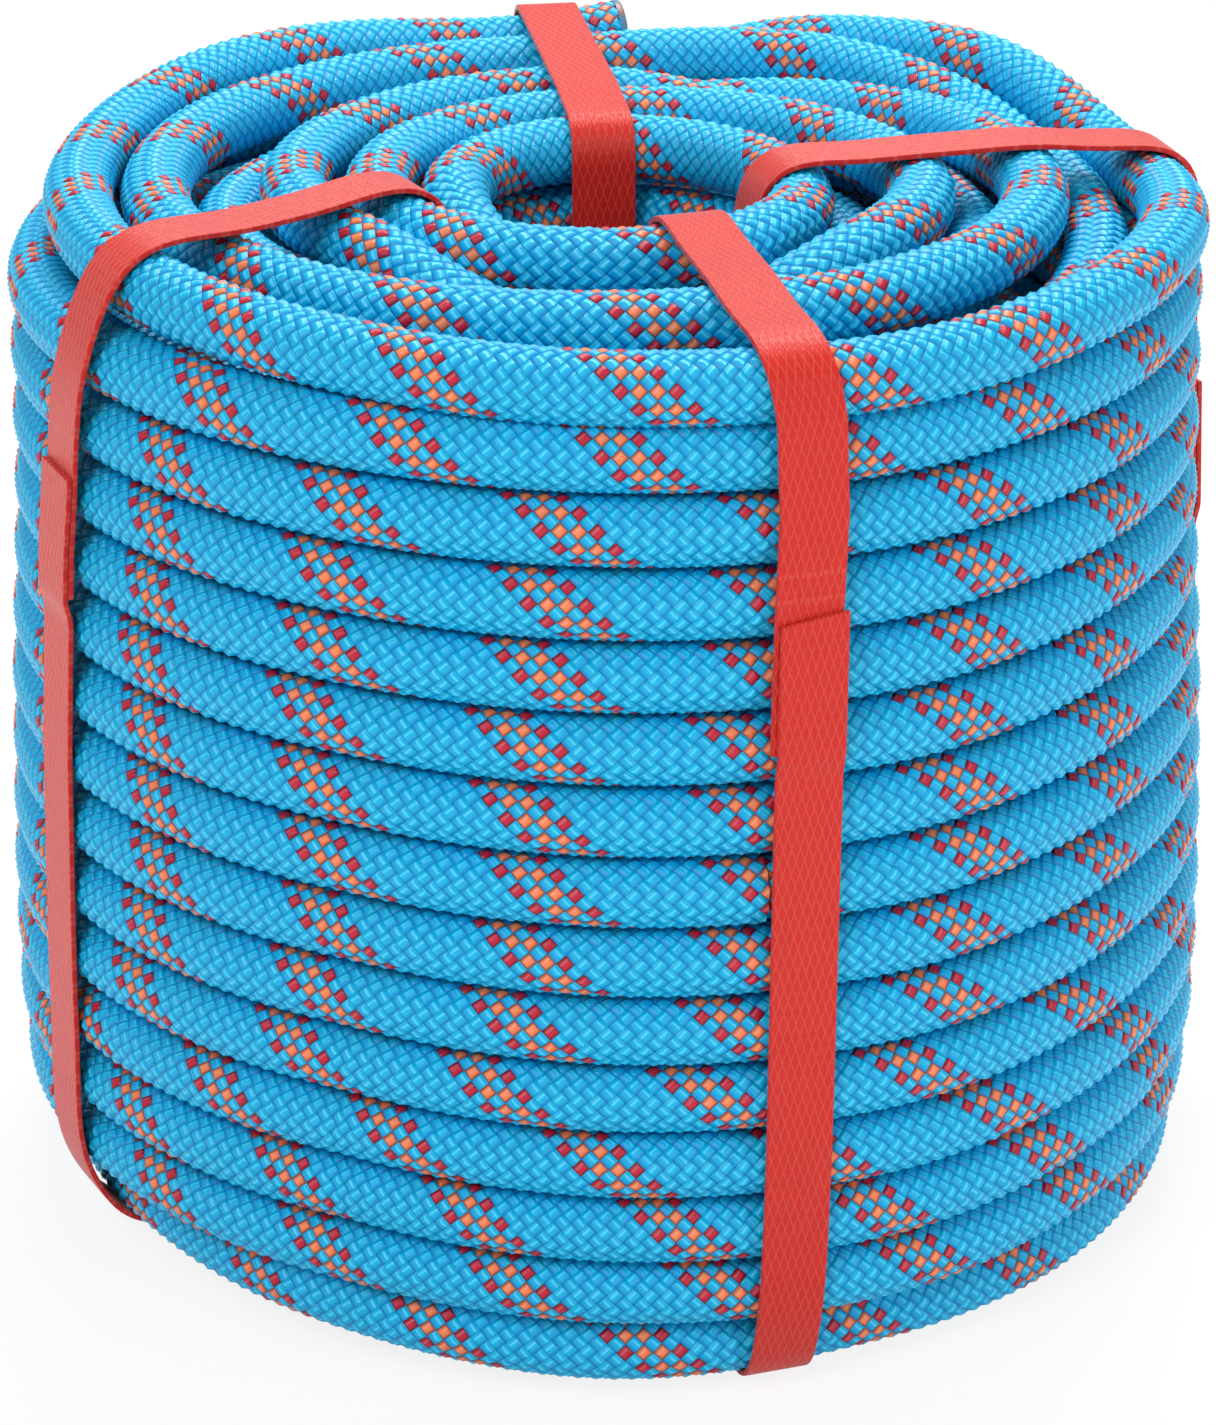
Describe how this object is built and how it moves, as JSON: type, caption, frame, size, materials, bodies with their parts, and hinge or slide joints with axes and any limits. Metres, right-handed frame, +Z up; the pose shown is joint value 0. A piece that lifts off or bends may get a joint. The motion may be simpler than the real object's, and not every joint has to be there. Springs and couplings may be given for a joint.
{
  "type": "coiled kernmantle rope",
  "caption": "Kernmantle rope wound as a level cylindrical coil with an open centre hole, its last turns spiralled flat on top, bound by webbing straps from hole to rim.",
  "frame": {"origin": "middle of the coil's footprint, on the plane that the undersides of the straps rest on", "axes": "+Z up along the coil's axis through its centre hole; the front strap leads towards -Y, the right strap towards +X"},
  "size_m": [0.2206, 0.2202, 0.1963],
  "materials": {
    "rope_sheath": "braided polyester yarn, blue with orange and crimson tracers, soft sheen",
    "rope_core": "white twisted polyamide core strands, matt",
    "strap_webbing": "woven flat polyester strapping, red, satin"
  },
  "bodies": {
    "root": {"rope_outer_turns": "rope_sheath", "rope_top_turns": "rope_sheath", "rope_inner_layers": "rope_sheath", "rope_bore_layer": "rope_sheath", "rope_end_sheath": "rope_sheath", "rope_end_core": "rope_core", "strap_front": "strap_webbing", "strap_right": "strap_webbing", "strap_back": "strap_webbing", "strap_left": "strap_webbing"}
  },
  "joints": []
}
